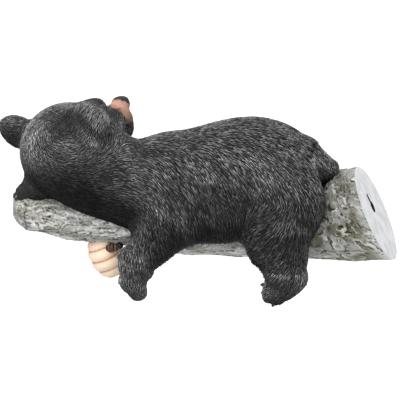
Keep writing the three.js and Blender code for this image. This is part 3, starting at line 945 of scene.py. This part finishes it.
def keyhole_shadow_material():
    # Near-black painted shadow inside the keyhole, speckled at random
    material, tree, shader = new_material("painted_keyhole_shadow", 0.8, 0.2)
    specks = add_node(tree, "ShaderNodeTexNoise", {
        "Vector": add_node(tree, "ShaderNodeTexCoord").outputs["Object"],
        "Scale": per_metre(BRUSH_MARK),
        "Detail": SPOT_DETAIL,
    }).outputs["Fac"]
    colour = add_node(tree, "ShaderNodeValToRGB", {"Fac": specks}, ((0.4, "#181818"), (0.7, "#282828")))
    tree.links.new(colour.outputs["Color"], shader.inputs["Base Color"])
    return material


# The hive and its bee

def build_hive(straw):
    steps = HIVE_COILS * HIVE_COIL_STEPS
    share = np.arange(steps + 1) / steps
    coil = np.abs(np.sin(np.pi * share * HIVE_COILS))
    radii = HIVE_RADIUS * np.maximum(np.sin(np.pi * share), 0) ** HIVE_FULLNESS + HIVE_COIL_DEPTH * coil
    points, faces = turned_shape(radii, -HIVE_HALF_HEIGHT * np.cos(np.pi * share), HIVE_SIDES)
    coils = np.concatenate((np.repeat(coil[1:-1], HIVE_SIDES), (HIVE_POLE_WASH, HIVE_POLE_WASH)))
    cos, sin = np.cos(HIVE_TILT), np.sin(HIVE_TILT)
    tilted = points @ np.array(((cos, 0, -sin), (0, 1, 0), (sin, 0, cos)))
    hive = mesh_piece("coiled_hive", tilted + HIVE_CENTRE, faces, (straw,), None, {"coil": coils})
    belongs(hive, "beehive")


def build_bee(bee_paint):
    """The bee is striped along its tail and chest, and its head is all dark."""
    shapes, stripes = [], []
    for along, raised, radii in BEE_PARTS:
        place = BEE_PLACE + np.array((along, 0, raised))
        points, faces = round_shape(radii, np.eye(3), place, BEE_DETAIL)
        shapes.append((points, faces))
        stripes.append(np.sin((points[:, 0] - BEE_PLACE[0]) * BEE_STRIPE_WAVE) * 0.5 + 0.5)
    stripes[-1] = np.zeros_like(stripes[-1])
    bee = mesh_piece("bee", *gathered(shapes), (bee_paint,), None, {"stripe": np.concatenate(stripes)})
    belongs(bee, "beehive")


def straw_material():
    # Cast resin painted straw colour in blotches of peach and cream, with a brown wash in the grooves
    material, tree, shader = new_material("painted_resin_straw", 0.6, 0.3)
    coil = add_node(tree, "ShaderNodeAttribute", attribute_name="coil").outputs["Fac"]
    place = add_node(tree, "ShaderNodeTexCoord").outputs["Object"]
    wear, blotches = [add_node(tree, "ShaderNodeTexNoise", {
        "Vector": place,
        "Scale": per_metre(size),
        "Detail": SPOT_DETAIL,
    }).outputs["Fac"] for size in (STRAW_WEAR, STRAW_BLOTCH)]
    for operation, by in (("SUBTRACT", 0.5), ("MULTIPLY", STRAW_WEAR_STRENGTH), ("ADD", coil)):
        wear = add_node(tree, "ShaderNodeMath", {0: wear, 1: by}, operation=operation).outputs[0]
    washed = add_node(tree, "ShaderNodeValToRGB", {"Fac": wear}, (
        (0.0, "#ad8f72"), (0.22, "#e6d0b9"), (0.5, "#f8ebdf"), (1.0, "#fdf4ea")))
    blotched = add_node(tree, "ShaderNodeValToRGB", {"Fac": blotches}, (
        (0.4, "#ffeae1"), (0.6, "#fff3dc")))
    colour = add_node(tree, "ShaderNodeMix", {
        MIX_SHARE: 1.0,
        MIX_FIRST: washed.outputs["Color"],
        MIX_SECOND: blotched.outputs["Color"],
    }, data_type="RGBA", blend_type="MULTIPLY")
    tree.links.new(colour.outputs[MIX_RESULT], shader.inputs["Base Color"])
    return material


def bee_material():
    # Cast resin painted brown with dark stripes and a black head
    material, tree, shader = new_material("painted_resin_bee", 0.5, 0.3)
    stripe = add_node(tree, "ShaderNodeAttribute", attribute_name="stripe").outputs["Fac"]
    colour = add_node(tree, "ShaderNodeValToRGB", {"Fac": stripe}, ((0.35, "#1c1510"), (0.8, "#77593d")))
    tree.links.new(colour.outputs["Color"], shader.inputs["Base Color"])
    return material


# The bear: skin, fur, nose, eyes and claws

def fur_lies(points, normals):
    """Which way the fur lies on the skin and how long it is, blended from the parts near by."""
    parts = TRUNK_PARTS + LIMB_PARTS + HEAD_PARTS
    gaps = np.stack([part.shape(points) for part in parts], axis=1)
    weights = np.exp(-(gaps - gaps.min(axis=1, keepdims=True)) / FLOW_BLEND)
    weights = weights / weights.sum(axis=1, keepdims=True)
    flow = sum(weights[:, at, None] * part.flow(points) for at, part in enumerate(parts))
    flow = flow - (flow * normals).sum(axis=1, keepdims=True) * normals
    length = weights @ np.array([part.fur_length for part in parts])
    by_nose = smooth_step(-np.linalg.norm(points - NOSE_PLACE, axis=1), -30, -20)
    return units(flow), length * (1 - 0.3 * by_nose)


def far_paw(points):
    """Share of smooth dark paint, partly painted shade under the head: all of the paw at the branch's
    tip, none of the arm.
    """
    return smooth_step(-joined(points, FAR_PAW_PARTS), -4, -1) * smooth_step(-points[:, 0], 132, 150)


def fur_shade(points, normals, length):
    """How much grey is painted over the dark fur: most on top and on the ears, least underneath and in
    creases, mostly as painted light and shade.
    """
    # Painted shade in creases: less grey where the skin a little way out is still inside the bear
    painted_crease_shade_factor = np.clip(bear_form(points + CREASE_REACH * normals) / CREASE_REACH, 0, 1)
    # Painted light on fur facing up, painted shade on fur facing down, and grey by height
    shade = read_off(PAINTED_LIGHT_BY_FACING, normals[:, 2]) * read_off(GREY_BY_HEIGHT, points[:, 2])
    shade = shade * (1 + FUR_CLUMPING * pattern(points, "fur_clumps")) * (1.6 - 0.6 * length) * painted_crease_shade_factor
    # Touches of painted light and painted shade about the head, and of more grey elsewhere
    for place, radius, change in PAINT_TOUCHES:
        away = np.linalg.norm(points - np.array(place), axis=1) / radius
        shade = shade + change * np.exp(-away * away)
    # A little more grey on the ears: partly dry-brushing on their raised backs, partly painted light
    shade = shade + 0.1 * smooth_step(-np.minimum(ear(points, -1), ear(points, 1)), -2, 0)
    # The paw at the branch's tip loses most of its grey: its dark paint is partly painted shade under the
    # head
    return np.clip(shade * (1 - 0.8 * far_paw(points)), LEAST_GREY, 1)


def muzzle_tan(points):
    """Share of salmon paint: the top and sides of the muzzle up to the nose, with a broken edge."""
    facing, crown, _ = ((points - HEAD_CENTRE) @ HEAD_AXES.T).T
    on_muzzle = round_cone(points, *MUZZLE) < TAN_MARGIN
    tan = np.where(on_muzzle, smooth_step(facing, *TAN_ALONG) * smooth_step(crown, *TAN_BELOW), 0)
    tan = tan * (1 - smooth_step(facing + TAN_NOSE_LEAN * crown, *TAN_NOSE_EDGE))
    return smooth_step(tan + TAN_BREAK * pattern(points, "muzzle_edge"), *TAN_EDGE)


def fur_cover(points):
    """Share of fur: none in the ears, on the nose, by the eyes or in the branch, little on the paw."""
    hollow = np.minimum(ear_hollow(points, -1), ear_hollow(points, 1))
    nose = ellipsoid(points, NOSE_PLACE, NOSE_RADII, HEAD_AXES)
    bare = np.maximum(smooth_step(-hollow, -2.5, 0), smooth_step(-nose, -1.5, 0))
    for eye in EYE_PLACES.values():
        away = np.linalg.norm(points - eye, axis=1)
        bare = np.maximum(bare, smooth_step(-away, -EYE_RIM_OUTER, -EYE_RIM_INNER))
    # The paw at the branch's tip is bare dark skin, partly painted shade under the head
    bare = np.maximum(bare, 0.9 * far_paw(points))
    return (1 - bare) * (1 - smooth_step(-branch_distance(points), 0, 2))


def build_bear(skin_paint, fur_paint):
    points, faces = surface_of(bear_form, SKIN_LOW, SKIN_HIGH, SKIN_CELL)
    normals = units(slope_of(bear_form, points))
    flow, length = fur_lies(points, normals)
    cover = fur_cover(points)
    trunk_gap, limb_gap = joined(points, TRUNK_PARTS), joined(points, LIMB_PARTS)
    on_head_part = joined(points, HEAD_PARTS) < np.minimum(trunk_gap, limb_gap)
    on_limb = ~on_head_part & (limb_gap < trunk_gap)
    attributes = {
        "tan": muzzle_tan(points),
        "shade": fur_shade(points, normals, length),
        "fur_length": length,
        "head_cover": cover * on_head_part,
        "body_cover": cover * ~(on_head_part | on_limb),
        "limb_cover": cover * on_limb,
        "flow": hang_directions(flow),
        "skin_normal": hang_directions(normals),
    }
    skin = mesh_piece("bear_skin", points, faces, (skin_paint,), None, attributes)
    lock = fur_lock()
    tree = fur_tree()
    for region, spacing, seed in FUR_REGIONS:
        values = {
            "Lock": lock,
            "Cover": region + "_cover",
            "Spacing": spacing * MILLIMETRE,
            "Stray Angle": STRAY_ANGLE,
            "Seed": seed,
            "Paint": fur_paint,
        }
        belongs(grow_fur(region + "_fur", skin, tree, values), "bear_cub")
    bpy.data.objects.remove(lock)
    bpy.data.node_groups.remove(tree)
    belongs(skin, "bear_cub")


def fur_lock():
    """One lock of fur lying along X, its root sunk in the skin, with a ridge along its top."""
    corners, ridge = LOCK_CORNERS[:, :3] * LOCK_SIZES * MILLIMETRE, LOCK_CORNERS[:, 3]
    root, ring, ring_sides, tip = 0, 1, 3, 4
    faces = fan(root, ring, ring_sides, -1) + fan(tip, ring, ring_sides)
    mesh = bpy.data.meshes.new("fur_lock")
    mesh.from_pydata(corners.tolist(), [], faces)
    mesh.polygons.foreach_set("use_smooth", np.full(len(faces), True))
    mesh.attributes.new("ridge", "FLOAT", "POINT").data.foreach_set("value", ridge.astype(np.float32))
    lock = bpy.data.objects.new("fur_lock", mesh)
    bpy.context.scene.collection.objects.link(lock)
    return lock


FUR_INPUTS = (
    ("Skin", "NodeSocketGeometry"),
    ("Lock", "NodeSocketObject"),
    ("Cover", "NodeSocketString"),
    ("Spacing", "NodeSocketFloat"),
    ("Stray Angle", "NodeSocketFloat"),
    ("Seed", "NodeSocketInt"),
    ("Paint", "NodeSocketMaterial"),
)


def fur_tree():
    """Locks of fur spread over a skin, each lying along the skin's flow."""
    tree = bpy.data.node_groups.new("fur_locks", "GeometryNodeTree")
    for name, kind in FUR_INPUTS:
        tree.interface.new_socket(name, in_out="INPUT", socket_type=kind)
    tree.interface.new_socket("Fur", in_out="OUTPUT", socket_type="NodeSocketGeometry")
    given = add_node(tree, "NodeGroupInput").outputs
    cover, length, flow, normal = [
        add_node(tree, "GeometryNodeInputNamedAttribute", {"Name": name}, data_type=kind).outputs[0]
        for name, kind in (
            (given["Cover"], "FLOAT"),
            ("fur_length", "FLOAT"),
            ("flow", "FLOAT_VECTOR"),
            ("skin_normal", "FLOAT_VECTOR"),
        )]
    spread = add_node(tree, "GeometryNodeDistributePointsOnFaces", {
        "Mesh": given["Skin"],
        "Distance Min": given["Spacing"],
        "Density Max": LOCKS_PER_SQUARE_METRE,
        "Density Factor": cover,
        "Seed": given["Seed"],
    }, distribute_method="POISSON")
    drawn = {}
    for number, (name, least, most) in enumerate(LOCK_DRAWS, 1):
        seed = add_node(tree, "FunctionNodeIntegerMath", {0: given["Seed"], 1: number}, operation="ADD")
        drawn[name] = add_node(tree, "FunctionNodeRandomValue", {
            DRAW_LEAST: least,
            DRAW_MOST: most,
            DRAW_SEED: seed.outputs[0],
        }, data_type="FLOAT").outputs[DRAW_RESULT]
    # Short locks are also narrower and lower
    thickness = add_node(tree, "ShaderNodeMath", {0: length, 1: 0.5}, operation="POWER").outputs[0]
    angle, longer, wider, higher = [
        add_node(tree, "ShaderNodeMath", {0: drawn[name], 1: by}, operation="MULTIPLY").outputs[0]
        for name, by in (
            ("stray", given["Stray Angle"]),
            ("length", length),
            ("width", thickness),
            ("height", thickness),
        )]
    lie = add_node(tree, "FunctionNodeAxesToRotation", {
        "Primary Axis": normal,
        "Secondary Axis": flow,
    }, primary_axis="Z", secondary_axis="X")
    stray = add_node(tree, "FunctionNodeAxisAngleToRotation", {"Axis": (0, 0, 1), "Angle": angle})
    turned = add_node(tree, "FunctionNodeRotateRotation", {
        0: lie.outputs[0],
        1: stray.outputs[0],
    }, rotation_space="LOCAL")
    scale = add_node(tree, "ShaderNodeCombineXYZ", {"X": longer, "Y": wider, "Z": higher})
    lock = add_node(tree, "GeometryNodeObjectInfo", {"Object": given["Lock"]})
    locks = add_node(tree, "GeometryNodeInstanceOnPoints", {
        "Points": spread.outputs["Points"],
        "Instance": lock.outputs["Geometry"],
        "Rotation": turned.outputs[0],
        "Scale": scale.outputs[0],
    })
    toned = add_node(tree, "GeometryNodeStoreNamedAttribute", {
        "Geometry": locks.outputs[0],
        "Name": "tone",
        "Value": drawn["tone"],
    }, data_type="FLOAT", domain="INSTANCE")
    real = add_node(tree, "GeometryNodeRealizeInstances", {"Geometry": toned.outputs[0]})
    painted = add_node(tree, "GeometryNodeSetMaterial", {
        "Geometry": real.outputs[0],
        "Material": given["Paint"],
    })
    add_node(tree, "NodeGroupOutput", {"Fur": painted.outputs[0]})
    return tree


def grow_fur(name, skin, tree, values):
    grower = bpy.data.objects.new(name, skin.data)
    bpy.context.scene.collection.objects.link(grower)
    modifier = grower.modifiers.new("fur", "NODES")
    modifier.node_group = tree
    for socket in tree.interface.items_tree:
        if socket.in_out == "INPUT" and socket.name in values:
            modifier[socket.identifier] = values[socket.name]
    grower.update_tag()
    evaluated = grower.evaluated_get(bpy.context.evaluated_depsgraph_get())
    mesh = bpy.data.meshes.new_from_object(evaluated)
    mesh.name = name
    bpy.data.objects.remove(grower)
    fur = bpy.data.objects.new(name, mesh)
    bpy.context.scene.collection.objects.link(fur)
    return fur


def skin_material():
    # Cast resin painted charcoal, with a salmon-tan muzzle
    material, tree, shader = new_material("painted_resin_skin", 0.6, 0.2)
    colour = add_node(tree, "ShaderNodeMix", {
        MIX_SHARE: add_node(tree, "ShaderNodeAttribute", attribute_name="tan").outputs["Fac"],
        MIX_FIRST: linear("#1d1d1e"),
        MIX_SECOND: linear("#a88371"),
    }, data_type="RGBA")
    tree.links.new(colour.outputs[MIX_RESULT], shader.inputs["Base Color"])
    return material


def fur_material():
    # Cast resin fur painted charcoal with grey dry-brushed along the ridges, salmon on the muzzle;
    # the grey is scaled by the skin's shade, which carries painted light and shade
    material, tree, shader = new_material("painted_resin_fur", 0.65, 0.1)
    ridge, tone, length, shade, tan = [
        add_node(tree, "ShaderNodeAttribute", attribute_name=name).outputs["Fac"]
        for name in ("ridge", "tone", "fur_length", "shade", "tan")]
    ridge = add_node(tree, "ShaderNodeMath", {0: ridge, 1: RIDGE_POWER}, operation="POWER").outputs[0]
    # Long locks differ more in tone than short ones
    for operation, by in (
        ("POWER", TONE_POWER),
        ("SUBTRACT", TONE_MIDDLE),
        ("MULTIPLY", length),
        ("MULTIPLY", TONE_SPREAD),
        ("ADD", TONE_BASE),
        ("MULTIPLY", ridge),
    ):
        tone = add_node(tree, "ShaderNodeMath", {0: tone, 1: by}, operation=operation).outputs[0]
    # Grey brushed on the ridges, times the painted light and shade in the skin's shade
    brushed = add_node(tree, "ShaderNodeMath", {0: tone, 1: shade}, operation="MULTIPLY").outputs[0]
    grey = add_node(tree, "ShaderNodeValToRGB", {"Fac": brushed}, (
        (0.0, "#050506"), (0.08, "#2c2c2d"), (0.25, "#7b7b7c"), (0.6, "#f0f0f1")))
    salmon = add_node(tree, "ShaderNodeValToRGB", {"Fac": tone}, (
        (0.0, "#785d51"), (0.3, "#ad8a79"), (0.9, "#ccaa99")))
    colour = add_node(tree, "ShaderNodeMix", {
        MIX_SHARE: tan,
        MIX_FIRST: grey.outputs["Color"],
        MIX_SECOND: salmon.outputs["Color"],
    }, data_type="RGBA")
    tree.links.new(colour.outputs[MIX_RESULT], shader.inputs["Base Color"])
    return material


def black_material():
    # Glossy black paint of the nose, eyes and claws, brushed on, so that its shine is uneven
    material, tree, shader = new_material("gloss_black_paint", 0.25, 0.5, "#0c0c0d")
    marks = add_node(tree, "ShaderNodeTexNoise", {
        "Vector": add_node(tree, "ShaderNodeTexCoord").outputs["Object"],
        "Scale": per_metre(BRUSH_MARK),
        "Detail": SPOT_DETAIL,
    }).outputs["Fac"]
    shine = add_node(tree, "ShaderNodeMapRange", {"Value": marks, "To Min": GLOSSIEST, "To Max": DULLEST})
    tree.links.new(shine.outputs[0], shader.inputs["Roughness"])
    return material


def build_face(black):
    points, faces = round_shape(NOSE_PAD_RADII, HEAD_AXES, NOSE_PAD_PLACE, NOSE_DETAIL)
    nose = mesh_piece("nose", points, faces, (black,))
    belongs(nose, "bear_cub")
    for name, place in EYE_PLACES.items():
        points, faces = round_shape((EYE_RADIUS,) * 3, np.eye(3), place, EYE_DETAIL)
        eye = mesh_piece(name, points, faces, (black,))
        belongs(eye, "bear_cub")


def build_claws(black):
    """Small dark claws at the tips of the hind toes and of the paw on the branch's end."""
    places = []
    for side in (-1, 1):
        for toe in range(HIND_TOES):
            turn = hind_toe_turn(toe)
            pointing = (np.cos(turn), 0, np.sin(turn) - CLAW_DROOP)
            places.append((hind_toe_place(toe, side, CLAW_REACH), pointing))
    for toe in range(PAW_TOES):
        places.append((paw_toe_place(toe) + np.array(PAW_CLAW_OFFSET), PAW_CLAW_POINTING))
    shapes = []
    for place, pointing in places:
        along = unit(pointing)
        across = unit(np.cross(along, (0.1, 1, 0)))
        axes = (along, across, np.cross(along, across))
        shapes.append(round_shape(CLAW_RADII, axes, place, CLAW_DETAIL))
    belongs(mesh_piece("claws", *gathered(shapes), (black,)), "bear_cub")


# Studio

def standing(right, up, back, place):
    """A camera's or light's matrix from its directions and place in the lie of the photograph."""
    matrix = Matrix(hang_directions((right, up, back)).tolist()).transposed().to_4x4()
    matrix.translation = Vector(hang(place))
    return matrix


def build_camera(scene):
    lens = bpy.data.cameras.new("camera")
    lens.sensor_width = SENSOR_WIDTH
    lens.lens = SENSOR_WIDTH * CAMERA_DISTANCE / PICTURE_WIDTH
    camera = bpy.data.objects.new("camera", lens)
    up = (0, np.sin(CAMERA_PITCH), np.cos(CAMERA_PITCH))
    back = (0, -np.cos(CAMERA_PITCH), np.sin(CAMERA_PITCH))
    place = np.array(back) * CAMERA_DISTANCE / MILLIMETRE
    camera.matrix_world = standing((1, 0, 0), up, back, place)
    scene.collection.objects.link(camera)
    scene.camera = camera


def build_lights(scene):
    """Lights that face the middle of the picture, under a white sky."""
    for name, place, size, power in LIGHTS:
        lamp = bpy.data.lights.new(name, "AREA")
        lamp.size = size
        lamp.energy = power
        light = bpy.data.objects.new(name, lamp)
        back = unit(place)
        right = unit(np.cross((0, 0.1, 1), back))
        light.matrix_world = standing(right, np.cross(back, right), back, place)
        scene.collection.objects.link(light)
    world = bpy.data.worlds.new("studio")
    scene.world = world
    world.use_nodes = True
    background = world.node_tree.nodes["Background"]
    background.inputs["Color"].default_value = linear("#ffffff")
    background.inputs["Strength"].default_value = SKY_STRENGTH
    scene.view_settings.view_transform = "Standard"


def build_floor(scene):
    # White paper that glows a little, so that it stays white behind the object
    paper, _, shader = new_material("white_paper", 0.9, 0.0, "#fbfbfb")
    shader.inputs["Emission Color"].default_value = linear("#ffffff")
    shader.inputs["Emission Strength"].default_value = FLOOR_GLOW
    half = FLOOR_SIZE / 2
    corners = [(x * half, y * half, -FLOOR_DROP) for x, y in ((-1, -1), (1, -1), (1, 1), (-1, 1))]
    mesh = bpy.data.meshes.new("floor")
    mesh.from_pydata(corners, [], [(0, 1, 2, 3)])
    mesh.materials.append(paper)
    floor = bpy.data.objects.new("floor", mesh)
    floor.visible_diffuse = False
    scene.collection.objects.link(floor)


black_paint = black_material()
build_branch(bark_material(), sawn_material(), keyhole_shadow_material())
build_hive(straw_material())
build_bee(bee_material())
build_bear(skin_material(), fur_material())
build_face(black_paint)
build_claws(black_paint)
build_camera(bpy.context.scene)
build_lights(bpy.context.scene)
build_floor(bpy.context.scene)
